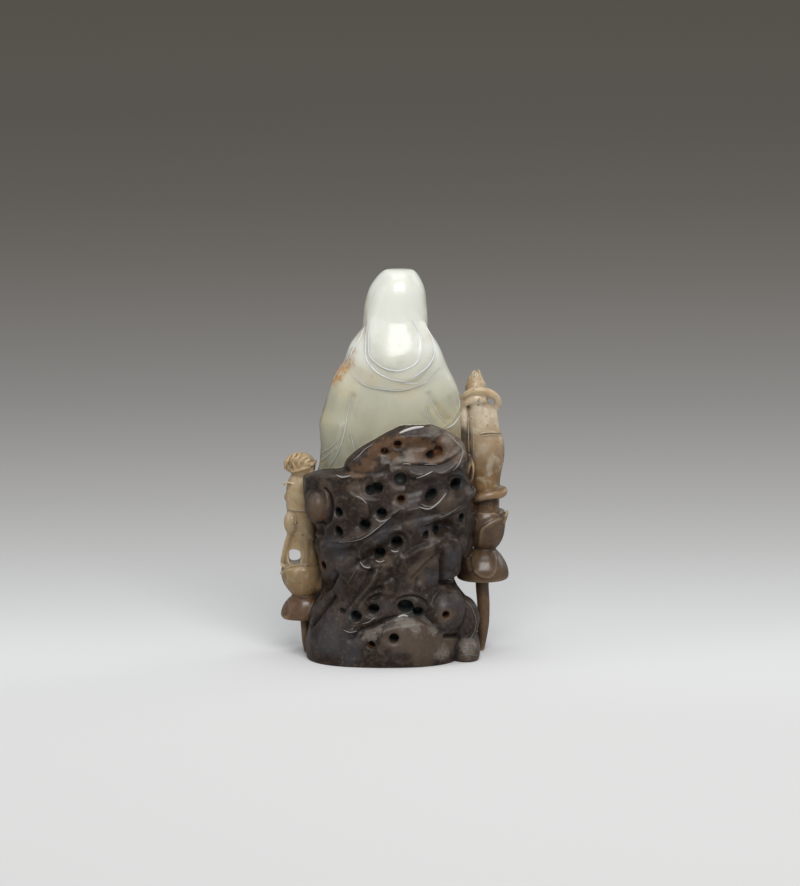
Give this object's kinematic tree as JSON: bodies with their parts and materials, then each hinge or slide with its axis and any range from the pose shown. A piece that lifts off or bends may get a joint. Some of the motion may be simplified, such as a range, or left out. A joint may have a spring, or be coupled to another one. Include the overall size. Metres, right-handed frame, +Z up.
{
  "type": "jade carving",
  "caption": "Carved jade figure group: a hooded seated figure on a pierced rock, flanked by small attendants on lotus flowers, free-standing ornament.",
  "frame": {"origin": "middle of the flat underside", "axes": "+Z up; the seated figure looks along +Y, so the carving's rock back looks along -Y; +X is to the right when looking at the back"},
  "size_m": [0.093, 0.0537, 0.159],
  "materials": {
    "jade": "polished nephrite, milky white at the top, through celadon to dark grey-brown rock, with tan attendants"
  },
  "bodies": {
    "root": {"jade_carving": "jade"}
  },
  "joints": []
}
